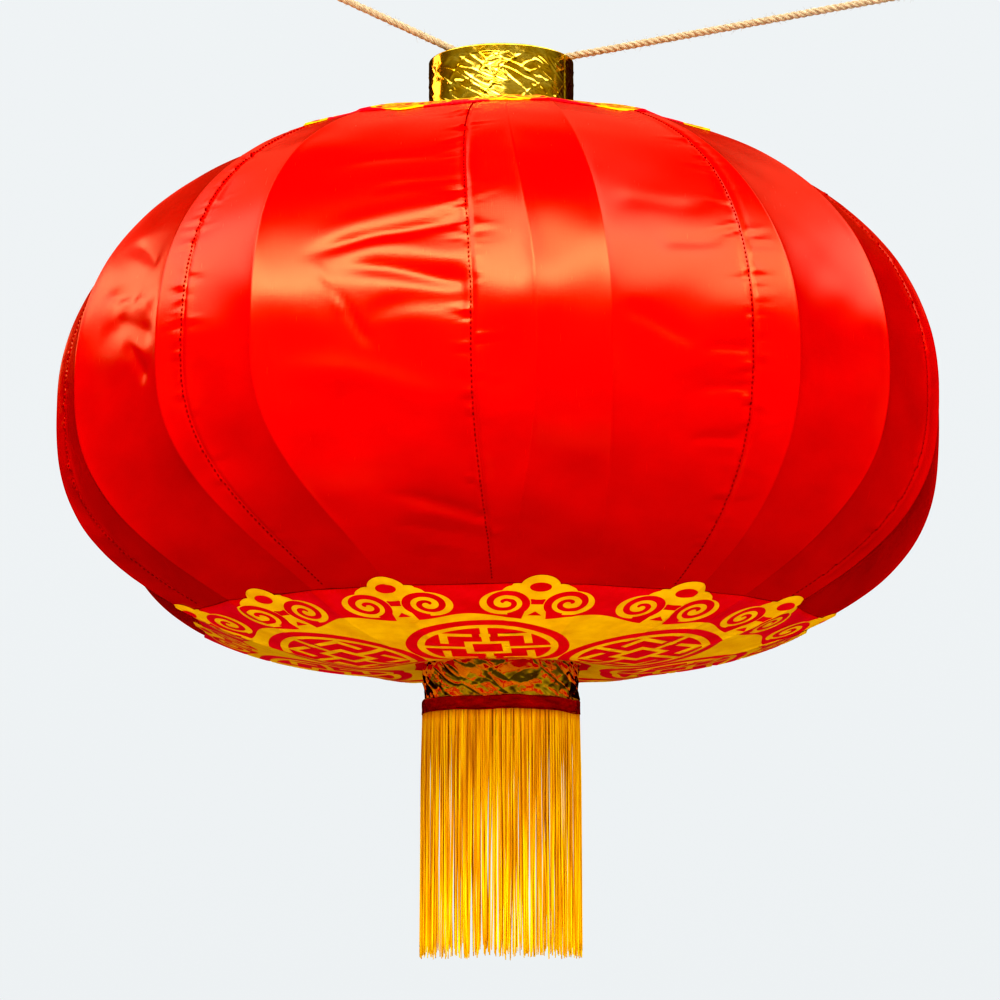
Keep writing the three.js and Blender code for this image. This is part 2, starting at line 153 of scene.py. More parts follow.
# Fringe: how many yarns, how finely each is drawn, and where they start.
STRANDS = 330
STRAND_STEPS = 26
STRAND_WIDTH = 0.6 * MM
STRAND_THICKNESS = 0.3 * MM
STRAND_TOP = -0.4508
STRAND_TOP_RADIUS = 52.75 * MM

# Rope: its route is the CAD model's, in metres.
ROPE_ROUTE = [
    (-0.132, 0, 0.0605), (-0.1, 0, 0.0453), (-0.07, 0, 0.0311), (-0.04, 0, 0.01685),
    (-0.02, 0, 0.00735), (-0.0086, 0, 0.00193), (-0.004, 0, 0.0004), (0, 0, 0),
    (0.0037, 0, 0.00035), (0.02, 0, 0.00343), (0.06, 0, 0.011), (0.12, 0, 0.0223),
    (0.2, 0, 0.03745), (0.27, 0, 0.0507), (0.345, 0, 0.06485),
]
ROPE_PITCH = 0.0145
ROPE_STRAND_OFFSET = 1.3 * MM
ROPE_STRAND_RADIUS = 1.42 * MM
ROPE_FIBRES = 420
ROPE_LOOP_RADIUS = 0.012

# Camera: below the waist and level with the fringe, looking up a little.
CAMERA_PLACE = (-0.0007, -2.05, -0.6264)
CAMERA_PITCH = math.radians(8.93)
CAMERA_LENS = 109.7

# How the picture is developed.
EXPOSURE = -0.45
BLACK_LEVEL = 0.024

# The world's brightness from straight down (0) to straight up (1): what is seen, and what it casts
# from in front of the object and from behind it.
BACKDROP_STOPS = [(0.0, 0.74), (0.4, 0.83), (0.55, 0.85), (1.0, 0.87)]
BACKDROP_TINT = (0.99, 1.02, 1.035)
ROOM_FRONT_STOPS = [
    (0.0, 0.12), (0.4, 0.12), (0.56, 0.5), (0.71, 0.2), (0.77, 4.8), (0.89, 4.8), (0.94, 0.3),
]
ROOM_BACK_STOPS = [
    (0.0, 0.1), (0.36, 0.04), (0.5, 0.03), (0.74, 0.1), (0.82, 0.7), (0.90, 0.5), (0.97, 0.2),
]
ROOM_BACK_TINT = (1.0, 0.66, 0.42)
LIGHT_COLOUR = (1.0, 0.985, 0.96)
WINDOW_COLOUR = (1.0, 0.6, 0.36)
# How far back (+Y) the front room has begun to fade, and where only the back room is left.
ROOM_FADE = (-0.2, 0.55)

FLOOR_SIZE, FLOOR_DROP = 60.0, 3.0

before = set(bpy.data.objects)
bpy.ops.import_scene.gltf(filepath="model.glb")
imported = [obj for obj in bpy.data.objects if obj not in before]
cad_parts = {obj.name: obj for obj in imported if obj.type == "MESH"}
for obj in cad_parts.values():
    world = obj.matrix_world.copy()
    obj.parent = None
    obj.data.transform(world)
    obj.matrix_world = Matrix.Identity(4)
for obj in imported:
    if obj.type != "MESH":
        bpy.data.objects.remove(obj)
cad_low, cad_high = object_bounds()


# Nodes and materials


def colour_ramp(tree, value, stops):
    """A value turned into a colour; each stop is (position, colour)."""
    made = tree.nodes.new("ShaderNodeValToRGB")
    spots = made.color_ramp.elements
    while len(spots) < len(stops):
        spots.new(0.5)
    for spot, (position, colour) in zip(spots, stops):
        spot.position = position
        spot.color = (*colour, 1.0)
    tree.links.new(value, made.inputs["Fac"])
    return made.outputs["Color"]


class Look:
    """A node material being built: a Principled shader with helpers for its inputs."""

    def __init__(self, name, **values):
        self.material = bpy.data.materials.new(name)
        self.material.use_nodes = True
        self.tree = self.material.node_tree
        self.shader = self.tree.nodes["Principled BSDF"]
        for socket, value in values.items():
            self.shader.inputs[socket.replace("_", " ")].default_value = value

    def node(self, kind):
        return self.tree.nodes.new(kind)

    def link(self, output, target):
        self.tree.links.new(output, target)

    def noise(self, source, scale, detail=3.0, roughness=0.55):
        """Noise over "UV" or "Object" coordinates, stretched by scale."""
        mapping = self.node("ShaderNodeMapping")
        mapping.inputs["Scale"].default_value = scale
        self.link(self.node("ShaderNodeTexCoord").outputs[source], mapping.inputs["Vector"])
        made = self.node("ShaderNodeTexNoise")
        made.inputs["Scale"].default_value = 1.0
        made.inputs["Detail"].default_value = detail
        made.inputs["Roughness"].default_value = roughness
        self.link(mapping.outputs["Vector"], made.inputs["Vector"])
        return made.outputs["Fac"]

    def rough(self, value, low, high):
        made = self.node("ShaderNodeMapRange")
        made.inputs["To Min"].default_value = low
        made.inputs["To Max"].default_value = high
        self.link(value, made.inputs["Value"])
        self.link(made.outputs["Result"], self.shader.inputs["Roughness"])

    def colour(self, value, *stops):
        self.link(colour_ramp(self.tree, value, stops), self.shader.inputs["Base Color"])

    def bump(self, *heights):
        """Each height is (output, distance in metres), laid one on another."""
        below = None
        for height, distance in heights:
            made = self.node("ShaderNodeBump")
            made.inputs["Distance"].default_value = distance
            self.link(height, made.inputs["Height"])
            if below is not None:
                self.link(below, made.inputs["Normal"])
            below = made.outputs["Normal"]
        self.link(below, self.shader.inputs["Normal"])


def grained_look(name, source, scale, stops, rough, relief=None, detail=5.0, roughness=0.55,
                 **values):
    """A material whose colour, roughness and relief all follow one noise."""
    look = Look(name, **values)
    grain = look.noise(source, scale, detail, roughness)
    look.colour(grain, *stops)
    look.rough(grain, *rough)
    if relief is not None:
        look.bump((grain, relief))
    return look.material


def satin_look():
    look = Look("satin", Specular_IOR_Level=1.0, Specular_Tint=(1.0, 0.58, 0.25, 1.0),
                Sheen_Weight=0.05, Sheen_Roughness=0.3, Sheen_Tint=(1.0, 0.12, 0.05, 1.0))
    threads = look.noise("UV", (1500, 55, 1), detail=2.0)
    cloudy = look.noise("UV", (14, 22, 1), detail=4.0)
    look.colour(cloudy, (0.3, (0.46, 0.0004, 0.0003)), (0.7, (0.56, 0.0008, 0.0005)))
    look.rough(threads, 0.20, 0.30)
    weft = look.noise("UV", (90, 2200, 1), detail=1.0)
    look.bump((threads, 0.05 * MM), (weft, 0.03 * MM))
    return look.material


def printed_look(name, size, detail, stops, rough, **values):
    """Printed cloth: clouded colour over a fine weave."""
    look = Look(name, Specular_IOR_Level=0.3, **values)
    look.colour(look.noise("Object", (size, size, size), detail), *stops)
    weave = look.noise("Object", (1600, 1600, 900), detail=2.0)
    look.rough(weave, *rough)
    look.bump((weave, 0.05 * MM))
    return look.material


def foil_look(name, dark, bright, relief):
    look = Look(name, Metallic=1.0)
    tone = look.noise("Object", (90, 90, 120), roughness=0.6, detail=5.0)
    look.colour(tone, (0.34, dark), (0.6, bright))
    fine = look.noise("Object", (420, 420, 560), detail=4.0)
    look.rough(fine, 0.07, 0.20)
    look.bump((tone, relief), (fine, 0.015 * MM))
    return look.material


def yarn_look(name, shade):
    look = Look(name, Specular_IOR_Level=0.55, Specular_Tint=(1.0, 0.85, 0.5, 1.0),
                Sheen_Weight=0.15, Sheen_Tint=(1.0, 0.8, 0.3, 1.0))
    strand = look.noise("UV", (37, 0.7, 1), detail=1.0)
    tones = [(0.38, (0.68, 0.29, 0.003)), (0.5, (0.92, 0.47, 0.005)), (0.62, (1.0, 0.64, 0.015))]
    # shade darkens every tone alike; below 1 it is painted shade.
    look.colour(strand, *[(at, tuple(shade * c for c in tone)) for at, tone in tones])
    twist = look.noise("UV", (90, 60, 1), detail=3.0)
    look.rough(twist, 0.32, 0.55)
    look.bump((twist, 0.12 * MM))
    return look.material


SATIN = satin_look()
PRINT_LOOKS = [
    printed_look("printed_ground", 60, 4.0,
                 [(0.3, (0.60, 0.001, 0.006)), (0.7, (0.74, 0.002, 0.014))], (0.42, 0.55),
                 Specular_Tint=(1.0, 0.4, 0.5, 1.0), Sheen_Weight=0.15,
                 Sheen_Tint=(1.0, 0.05, 0.25, 1.0)),
    printed_look("printed_gold", 70, 5.0, [(0.3, (0.76, 0.36, 0.004)), (0.7, (0.90, 0.50, 0.012))],
                 (0.3, 0.45), Specular_Tint=(1.0, 0.85, 0.5, 1.0)),
]
TOP_FOIL = foil_look("top_gold_foil", (0.88, 0.48, 0.03), (1.0, 0.70, 0.12), 0.08 * MM)
BOTTOM_FOIL = foil_look("bottom_gold_foil", (0.84, 0.46, 0.02), (1.0, 0.66, 0.08), 0.04 * MM)
YARN = yarn_look("yellow_yarn", 1.0)
# The fringe's head takes the same yellow yarn darkened to 0.42: painted shade.
SHADED_HEAD_YARN = yarn_look("fringe_head_yarn_painted_shade", 0.42)
TAPE = grained_look(
    "red_tape", "Object", (90, 90, 300),
    [(0.35, (0.20, 0.0005, 0.002)), (0.7, (0.42, 0.001, 0.004))], (0.14, 0.34), 0.25 * MM,
    detail=4.0, Specular_IOR_Level=0.5, Specular_Tint=(1.0, 0.3, 0.3, 1.0), Coat_Weight=0.4,
    Coat_Roughness=0.08)
JUTE = grained_look(
    "jute", "UV", (16, 260, 1),
    [(0.3, (0.20, 0.13, 0.065)), (0.5, (0.48, 0.36, 0.21)), (0.72, (0.76, 0.64, 0.43))],
    (0.7, 0.95), 0.5 * MM, roughness=0.65, Specular_IOR_Level=0.2, Sheen_Weight=0.4)
CARD = grained_look(
    "card", "Object", (200, 200, 60), [(0.3, (0.36, 0.25, 0.14)), (0.7, (0.55, 0.42, 0.27))],
    (0.75, 0.95), 0.2 * MM, Specular_IOR_Level=0.25)
STEEL = grained_look(
    "steel_wire", "Object", (180, 180, 180),
    [(0.3, (0.22, 0.17, 0.13)), (0.45, (0.50, 0.50, 0.51)), (0.8, (0.68, 0.68, 0.69))],
    (0.25, 0.5), 0.1 * MM, detail=6.0, roughness=0.7, Metallic=1.0)
THREAD = grained_look(
    "stitch_thread", "Object", (900, 900, 900),
    [(0.3, (0.16, 0.0005, 0.0005)), (0.7, (0.30, 0.001, 0.001))], (0.5, 0.7), detail=2.0,
    Specular_IOR_Level=0.05)
GROUND = grained_look(
    "floor", "Object", (9, 9, 9), [(0.3, (0.56, 0.58, 0.59)), (0.7, (0.60, 0.62, 0.63))],
    (0.8, 0.9), detail=6.0, Specular_IOR_Level=0.2)


# Meshes


def new_piece(name, vertices, faces, looks, body, uv=None, face_looks=None):
    """A smooth mesh in the row frame, riding on a body and taking its finish from a slot."""
    mesh = bpy.data.meshes.new(name)
    mesh.from_pydata(np.asarray(vertices).tolist(), [], [tuple(f) for f in faces])
    mesh.polygons.foreach_set("use_smooth", [True] * len(mesh.polygons))
    for look in looks:
        mesh.materials.append(look)
    if face_looks is not None:
        mesh.polygons.foreach_set("material_index", face_looks)
    if uv is not None:
        corners = np.empty(len(mesh.loops), dtype=int)
        mesh.loops.foreach_get("vertex_index", corners)
        layer = mesh.uv_layers.new(name="UVMap")
        layer.data.foreach_set("uv", np.asarray(uv)[corners].ravel())
    mesh.validate()
    piece = bpy.data.objects.new(name, mesh)
    bpy.context.scene.collection.objects.link(piece)
    if body is not None:
        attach(piece, body)
    return piece


def joined_piece(name, parts, look, body):
    """A piece made of several (vertices, faces, uv)."""
    vertices, faces, uv, count = [], [], [], 0
    for part_vertices, part_faces, part_uv in parts:
        vertices.append(part_vertices)
        uv.append(part_uv)
        faces.extend([tuple(v + count for v in face) for face in part_faces])
        count += len(part_vertices)
    return new_piece(name, np.concatenate(vertices), faces, [look], body, np.concatenate(uv))


def grid_faces(rows, columns, closed=False):
    """Quads of a grid of points; rows go up and columns to the right, seen from outside."""
    spans = columns if closed else columns - 1
    i, j = np.meshgrid(np.arange(rows - 1), np.arange(spans), indexing="ij")
    k = (j + 1) % columns
    quads = np.stack([i * columns + j, i * columns + k, (i + 1) * columns + k,
                      (i + 1) * columns + j], axis=-1)
    return quads.reshape(-1, 4).tolist()


def whole_turn(count):
    return np.linspace(0, 2 * np.pi, count, endpoint=False)


def distance_along(path):
    """How far along a path each of its points is."""
    return np.concatenate([[0], np.cumsum(np.linalg.norm(np.diff(path, axis=0), axis=1))])


def paired(first, second):
    """Two arrays, spread to one shape, as rows of (first, second)."""
    return np.stack(np.broadcast_arrays(first, second), axis=-1).reshape(-1, 2)


def around(radius, angle, *height):
    """Points at a radius and an angle from the front, in plan or with a height as well."""
    places = np.broadcast_arrays(radius * np.sin(angle), -radius * np.cos(angle), *height)
    return np.stack(places, axis=-1)


def smooth_path(points, step):
    """Points about a step apart on a smooth curve through the given ones."""
    points = np.array(points, dtype=float)
    at = distance_along(points)
    slopes = np.gradient(points, at, axis=0)
    where = np.linspace(0, at[-1], max(2, round(at[-1] / step) + 1))
    i = np.clip(np.searchsorted(at, where, side="right") - 1, 0, len(points) - 2)
    gap = (at[i + 1] - at[i])[:, None]
    t = ((where - at[i]) / gap[:, 0])[:, None]
    start = (2 * t**3 - 3 * t**2 + 1) * points[i] + (t**3 - 2 * t**2 + t) * gap * slopes[i]
    return start + (3 * t**2 - 2 * t**3) * points[i + 1] + (t**3 - t**2) * gap * slopes[i + 1]


def path_frames(path, side, closed=False):
    """Unit tangents of a path, and two directions across it; side lies roughly across it."""
    if closed:
        tangents = np.roll(path, -1, axis=0) - np.roll(path, 1, axis=0)
    else:
        tangents = np.gradient(path, axis=0)
    tangents /= np.linalg.norm(tangents, axis=1)[:, None]
    across = np.cross(tangents, side)
    across /= np.linalg.norm(across, axis=1)[:, None]
    return tangents, across, np.cross(tangents, across)


def ring_faces(rows, sides, closed=False):
    """Faces of a tube made of rings of points: closed on itself, or with a face across each end."""
    faces = []
    for i in range(rows if closed else rows - 1):
        low, high = i * sides, (i + 1) % rows * sides
        for j in range(sides):
            k = (j + 1) % sides
            faces.append((low + j, high + j, high + k, low + k))
    if not closed:
        faces.append(tuple(range(sides)))
        faces.append(tuple(reversed(range((rows - 1) * sides, rows * sides))))
    return faces


def tube_parts(path, radius, sides, side, closed=False):
    """Vertices, faces and uv of a tube along a path."""
    _, across, other = path_frames(path, side, closed)
    angles = whole_turn(sides)
    radii = np.broadcast_to(np.asarray(radius, dtype=float), (len(path),))[:, None, None]
    ring = np.cos(angles)[None, :, None] * across[:, None]
    ring = ring + np.sin(angles)[None, :, None] * other[:, None]
    vertices = (path[:, None] + radii * ring).reshape(-1, 3)
    uv = paired(angles[None, :] / (2 * np.pi), distance_along(path)[:, None])
    return vertices, ring_faces(len(path), sides, closed), uv


# Camera, floor and light


def make_camera():
    data = bpy.data.cameras.new("camera")
    data.lens = CAMERA_LENS
    camera = bpy.data.objects.new("camera", data)
    camera.location = CAMERA_PLACE
    camera.rotation_euler = (math.pi / 2 + CAMERA_PITCH, 0, 0)
    bpy.context.scene.collection.objects.link(camera)
    bpy.context.scene.camera = camera


def sky_ramp(tree, height, stops, tint=(1.0, 1.0, 1.0)):
    return colour_ramp(tree, height, [(at, tuple(shade * c for c in tint)) for at, shade in stops])


def sky_mix(tree, share, first, second):
    mix = tree.nodes.new("ShaderNodeMix")
    mix.data_type = "RGBA"
    colours = [socket for socket in mix.inputs if socket.type == "RGBA"]
    tree.links.new(share, mix.inputs[0])
    tree.links.new(first, colours[0])
    tree.links.new(second, colours[1])
    return next(socket for socket in mix.outputs if socket.type == "RGBA")


def sky_share(tree, value, low, high):
    share = tree.nodes.new("ShaderNodeMapRange")
    share.inputs["From Min"].default_value = low
    share.inputs["From Max"].default_value = high
    tree.links.new(value, share.inputs["Value"])
    return share.outputs["Result"]


def make_world():
    """A pale backdrop, and a dimmer room that lights the object so that its colours stay deep."""
    world = bpy.data.worlds.new("pale_studio")
    bpy.context.scene.world = world
    world.use_nodes = True
    tree = world.node_tree
    where = tree.nodes.new("ShaderNodeTexCoord")
    split = tree.nodes.new("ShaderNodeSeparateXYZ")
    tree.links.new(where.outputs["Generated"], split.inputs["Vector"])
    level = sky_share(tree, split.outputs["Z"], -1.0, 1.0)
    depth = sky_share(tree, split.outputs["Y"], *ROOM_FADE)
    seen = sky_ramp(tree, level, BACKDROP_STOPS, BACKDROP_TINT)
    front = sky_ramp(tree, level, ROOM_FRONT_STOPS)
    back = sky_ramp(tree, level, ROOM_BACK_STOPS, ROOM_BACK_TINT)
    cast = sky_mix(tree, depth, front, back)
    rays = tree.nodes.new("ShaderNodeLightPath")
    shown = sky_mix(tree, rays.outputs["Is Camera Ray"], cast, seen)
    tree.links.new(shown, tree.nodes["Background"].inputs["Color"])


def make_light(name, place, target, size, power, shines, colour=LIGHT_COLOUR):
    """An area light; one that doesn't shine adds no gloss."""
    data = bpy.data.lights.new(name, "AREA")
    data.shape = "RECTANGLE"
    data.size, data.size_y = size
    data.energy = power
    data.color = colour
    light = bpy.data.objects.new(name, data)
    light.location = place
    aim = Vector(target) - Vector(place)
    light.rotation_euler = aim.to_track_quat("-Z", "Y").to_euler()
    light.visible_camera = False
    light.visible_glossy = shines
    bpy.context.scene.collection.objects.link(light)


def make_floor():
    """A floor far below, so that it's out of the picture, and out of the object's reflections."""
    size, z = FLOOR_SIZE, cad_low[2] - FLOOR_DROP
    corners = [(-size, -size, z), (size, -size, z), (size, size, z), (-size, size, z)]
    floor = new_piece("floor", corners, [(0, 1, 2, 3)], [GROUND], None)
    floor.visible_glossy = False


# The cloth's surface


def dome(level, top_value, bottom_value):
    return np.where(level >= 0, top_value, bottom_value)


def radius_at(level):
    fullness = dome(level, TOP_FULLNESS, BOTTOM_FULLNESS)
    return WAIST_RADIUS * np.cos(level * np.pi / 2) ** (2 / fullness)


def level_of(radius, side):
    fullness = TOP_FULLNESS if side > 0 else BOTTOM_FULLNESS
    return side * np.arccos(np.minimum(radius / WAIST_RADIUS, 1) ** (fullness / 2)) / (np.pi / 2)


def height_at(level):
    fullness = dome(level, TOP_FULLNESS, BOTTOM_FULLNESS)
    share = radius_at(level) / WAIST_RADIUS
    height = dome(level, TOP_HEIGHT, BOTTOM_HEIGHT)
    rise = height * np.maximum(1 - share**fullness, 0) ** (1 / fullness)
    inside = np.maximum(0, 1 - (radius_at(level) / DISH_RADIUS) ** 2)
    dish = dome(level, TOP_DISH, BOTTOM_DISH) * inside**2
    return WAIST_Z + dome(level, 1, -1) * (rise - dish)


def smoothstep(value, low, high):
    t = np.clip((value - low) / (high - low), 0, 1)
    return t * t * (3 - 2 * t)


def bell(value, width):
    return np.exp(-((value / width) ** 2))


def azimuth_at(lines, level):
    """Azimuths of lines (waist, top, bottom) at levels: a row for each level."""
    level = np.asarray(level, dtype=float)[..., None]
    waist, top, bottom = lines[..., 0], lines[..., 1], lines[..., 2]
    end = np.where(level >= 0, top, bottom)
    return waist + (end - waist) * smoothstep(np.abs(level), 0, LEAN_REACH)


def cloth_base(level, azimuth):
    """Points of the cloth drawn straight from rib to rib and bowed in a little between them."""
    ribs = azimuth_at(RIBS, level)
    since = np.min((azimuth[..., None] - ribs) % 360, axis=-1)
    until = np.min((ribs - azimuth[..., None]) % 360, axis=-1)
    half = np.radians((since + until) / 2)
    off = np.radians(since) - half
    radius = radius_at(level)
    t = np.clip(since / np.maximum(since + until, 1e-9), 0, 1)
    bow = BOW_SHARE * radius * 2 * half * (4 * t * (1 - t)) ** 0.8
    span = radius * np.cos(half) / np.cos(off) - bow
    return around(span, np.radians(azimuth), height_at(level))


def cloth(level, azimuth, lift):
    """Points lifted off the base surface along its normal."""
    level, azimuth, lift = np.broadcast_arrays(level, azimuth, lift)
    level_step, turn_step = 0.0008, 0.08
    up = cloth_base(level + level_step, azimuth) - cloth_base(level - level_step, azimuth)
    right = cloth_base(level, azimuth + turn_step) - cloth_base(level, azimuth - turn_step)
    normal = np.cross(right, up)
    normal /= np.linalg.norm(normal, axis=-1)[..., None]
    return cloth_base(level, azimuth) + normal * lift[..., None]


LEVEL_TABLE = np.linspace(-0.995, 0.995, 1200)
ARC_TABLE = np.concatenate([[0], np.cumsum(np.hypot(
    np.diff(radius_at(LEVEL_TABLE)), np.diff(height_at(LEVEL_TABLE))))])
ARC_TABLE -= np.interp(0, LEVEL_TABLE, ARC_TABLE)


def arc_of(level):
    """Distance along the section from the waist, up positive."""
    return np.interp(level, LEVEL_TABLE, ARC_TABLE)


def level_at_arc(arc):
    return np.interp(arc, ARC_TABLE, LEVEL_TABLE)


TOP_EDGE = float(level_of(TOP_EDGE_RADIUS, 1))
BOTTOM_EDGE = float(level_of(BOTTOM_EDGE_RADIUS, -1))


def fold_lift(x, arc):
    """The soft folds' share of the lift at places x across (from the front) and arc up."""
    lift = np.zeros_like(x)
    for *ends, width, depth in FOLDS:
        width, depth = width * MM, depth * MM
        (ax, ay), (bx, by) = [(radius_at(np.float64(level)) * math.radians(turn), arc_of(level))
                              for turn, level in (ends[:2], ends[2:])]
        length = math.hypot(bx - ax, by - ay)
        ux, uy = (bx - ax) / length, (by - ay) / length
        along = ((x - ax) * ux + (arc - ay) * uy) / length
        away = (arc - ay) * ux - (x - ax) * uy
        sway = away - 0.35 * width * np.sin(along * 5.0)
        taper = smoothstep(along, -0.12, 0.3) * (1 - smoothstep(along, 0.85, 1.12))
        lift += depth * np.exp(-(sway / width) ** 2) * taper
    return lift


def pucker_lift(dice, distance, arc, strength):
    """Short wrinkles that run out from a seam, each a ridge beside a hollow."""
    lift = np.zeros_like(distance)
    low, high = arc_of(BOTTOM_EDGE), arc_of(TOP_EDGE)
    for _ in range(PUCKERS):
        spot = dice.uniform(low, high)
        reach = dice.uniform(4, 17) * MM
        width = dice.uniform(1.3, 3.2) * MM
        slope = dice.uniform(-0.35, 0.35)
        depth = dice.uniform(0.25, 0.8) * MM * strength
        rise = (arc - spot - slope * distance) / width
        lift += depth * rise * np.exp(-(rise**2)) * bell(distance, reach) * 2
    return lift


def unevenness(dice, x, arc):
    """Broad, shallow waves that break up the reflections of stretched satin."""
    lift = np.zeros_like(x)
    for _ in range(14):
        wave = dice.uniform(28, 85) * MM
        turn = dice.uniform(-0.9, 0.9)
        phase = dice.uniform(0, 2 * np.pi)
        along = arc * math.cos(turn) + x * math.sin(turn)
        lift += np.sin(2 * np.pi * along / wave + phase) * wave
    return lift * UNEVEN_SLOPE


def end_gathers(dice, x, arc):
    """Small folds across the ends of a gore, where it is sewn under a medallion."""
    lift = np.zeros_like(x)
    for edge in (arc_of(BOTTOM_EDGE), arc_of(TOP_EDGE)):
        away = np.abs(arc - edge)
        for _ in range(5):
            wave = dice.uniform(8, 26) * MM
            phase = dice.uniform(0, 2 * np.pi)
            fade = np.exp(-away / GATHER_REACH)
            lift += GATHER_DEPTH * np.sin(2 * np.pi * x / wave + phase) * fade
    return lift


def clustered(count):
    """Shares from 0 to 1, closer together towards both ends."""
    even = np.linspace(0, 1, count + 1)
    return 0.4 * even + 0.6 * (1 - np.cos(np.pi * even)) / 2


def ribs_under(left, right):
    """The ribs between two seams, as (number, line); the last ones may be a turn further on."""
    return [(k + 1, rib + turn) for turn in (0, 360) for k, rib in enumerate(RIBS)
            if left[0] < rib[0] + turn < right[0]]


def gore_columns(left, right, level):
    """Azimuths across a gore at each level, with a column on every rib that it crosses."""
    overlap = np.degrees(SEAM_OVERLAP / radius_at(level))[..., None]
    start = azimuth_at(left, level) - overlap
    end = azimuth_at(right, level) + overlap
    stations = [start, *(azimuth_at(rib, level) for _, rib in ribs_under(left, right)), end]
    columns = [start]
    for one, two in zip(stations, stations[1:]):
        width = math.radians(float(np.max(two - one))) * WAIST_RADIUS
        shares = clustered(max(8, math.ceil(width / COLUMN_STEP)))[1:]
        columns.append(one + (two - one) * shares)
    return np.concatenate(columns, axis=-1)


def gore_edges(index):
    """A gore's left and right seams; the last gore ends at the first seam, a turn further on."""
    last = index + 1 == len(SEAMS)
    return SEAMS[index], SEAMS[(index + 1) % len(SEAMS)] + (360 if last else 0)


def gore_points(index, level, turns):
    """Places on a gore's displaced surface, for matching arrays of levels and azimuths."""
    left, right = gore_edges(index)
    arc, radius = arc_of(level), radius_at(level)
    x = radius * np.radians(turns)
    from_left = radius * np.radians(turns - azimuth_at(left, level)[..., 0])
    from_right = radius * np.radians(azimuth_at(right, level)[..., 0] - turns)
    lift = fold_lift(x, arc)
    loose = unevenness(default_rng(UNEVEN_SEED + index), x, arc)
    loose += end_gathers(default_rng(GATHER_SEED + index), x, arc)
    for distance in (from_left, from_right):
        loose *= 1 - bell(np.maximum(distance, 0), SEAM_HOLD)
    lift += loose
    edges = ((from_left, 2 * index, LEFT_PUCKERING),
             (from_right, (index + 1) % len(SEAMS) * 2 + 1, RIGHT_PUCKERING))
    for distance, side, strength in edges:
        dice = default_rng(PUCKER_SEED + side)
        away = np.maximum(distance, 0)
        free = 1 - bell(away, PUCKER_HOLD)
        lift += pucker_lift(dice, away, arc, strength) * free
        lift -= SEAM_GROOVE * bell(away, SEAM_GROOVE_WIDTH)
        lift += SEAM_SHOULDER * bell(away - SEAM_SHOULDER_PLACE, SEAM_SHOULDER_WIDTH)
    ribs = azimuth_at(RIBS, level)
    since = np.min(np.abs((turns[..., None] - ribs + 180) % 360 - 180), axis=-1)
    from_rib = radius * np.radians(since)
    lift *= 1 - 0.75 * bell(from_rib, RIB_HOLD)
    lift += RIB_RIDGE * bell(from_rib, RIB_RIDGE_WIDTH)
    beyond = np.maximum(arc - arc_of(TOP_EDGE), arc_of(BOTTOM_EDGE) - arc)
    near_edge = smoothstep(beyond, -40 * MM, -16 * MM)
    lift = lift * (1 - 0.85 * near_edge) - UNDERLAP_DROP * smoothstep(beyond, -2 * MM, 2 * MM)
    return cloth(level, turns, lift)


def make_gore(index):
    left, right = gore_edges(index)
    low_arc, high_arc = arc_of(BOTTOM_EDGE) - UNDERLAP, arc_of(TOP_EDGE) + UNDERLAP
    level = level_at_arc(np.linspace(low_arc, high_arc, GORE_ROWS))
    turns = gore_columns(left, right, level)
    levels = np.broadcast_to(level[:, None], turns.shape)
    points = gore_points(index, levels, turns)
    rows, columns = turns.shape
    name = f"satin_gore_{index + 1:02d}"
    uv = paired(radius_at(levels) * np.radians(turns), arc_of(levels))
    gore = new_piece(f"{name}_cloth", points.reshape(-1, 3), grid_faces(rows, columns), [SATIN],
                     "lantern", uv=uv)
    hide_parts(name)


def make_stitches(index):
    """A row of thread stitches beside each seam, on the gore to its left."""
    gore = (index - 1) % len(SEAMS)
    seam = gore_edges(gore)[1]
    low, high = arc_of(BOTTOM_EDGE) + 2 * STITCH_PITCH, arc_of(TOP_EDGE) - 2 * STITCH_PITCH
    spots = np.arange(low, high, STITCH_PITCH)
    arcs = spots[:, None] + np.linspace(-0.29, 0.29, 5) * STITCH_PITCH
    level = level_at_arc(arcs)
    turns = azimuth_at(seam, level)[..., 0] - np.degrees(STITCH_SIDE / radius_at(level))
    places = gore_points(gore, level, turns)
    radii = np.array([0.22, 0.46, 0.52, 0.46, 0.22]) * MM
    parts = [tube_parts(path, radii, 6, np.cross(path[2] * (1, 1, 0), (0, 0, 1.0)))
             for path in places]
    joined_piece(f"seam_stitches_{index + 1:02d}", parts, THREAD, "lantern")


# The medallions' print: outlines in the plan, in units of the bottom medallion's millimetres

PRINT_EDGE = 218
HEADS = 14
HEAD_RADIUS = 203
ROUNDELS = 7
ROUNDEL_RADIUS = 123


def circle(cx, cy, rx, ry=None, steps=40):
    angles = whole_turn(steps)
    return np.stack([cx + rx * np.cos(angles), cy + (ry or rx) * np.sin(angles)], axis=1)


def spiral_band(cx, cy, mirror):
    """A band that winds in and narrows, with a rounded inner end."""
    t = np.linspace(0, 1, 64)
    angle = -1.7 - 1.72 * 2 * np.pi * t
    radius = 15.2 + (1.6 - 15.2) * t
    width = 2.3 * (1.2 - 0.55 * t) * np.sqrt(np.minimum(1, np.maximum(0.01, (1 - t) * 14)))
    points = []
    for sign in (1, -1):
        reach = radius + sign * width
        edge = np.stack([cx + mirror * reach * np.cos(angle), cy + reach * np.sin(angle)], axis=1)
        points.append(edge[::sign])
    return np.concatenate(points)


def stroke(points, half_width):
    """The outline of a square-cornered line."""
    points = np.array(points, dtype=float)
    steps = np.diff(points, axis=0)
    steps /= np.linalg.norm(steps, axis=1)[:, None]
    side = np.stack([-steps[:, 1], steps[:, 0]], axis=1)
    first = np.vstack([side[:1], side])
    last = np.vstack([side, side[-1:]])
    corner = first + last
    corner /= np.maximum((corner * first).sum(axis=1), 0.3)[:, None]
    ends = points.copy()
    ends[0] -= steps[0] * half_width
    ends[-1] += steps[-1] * half_width
    return np.concatenate([ends + corner * half_width, (ends - corner * half_width)[::-1]])


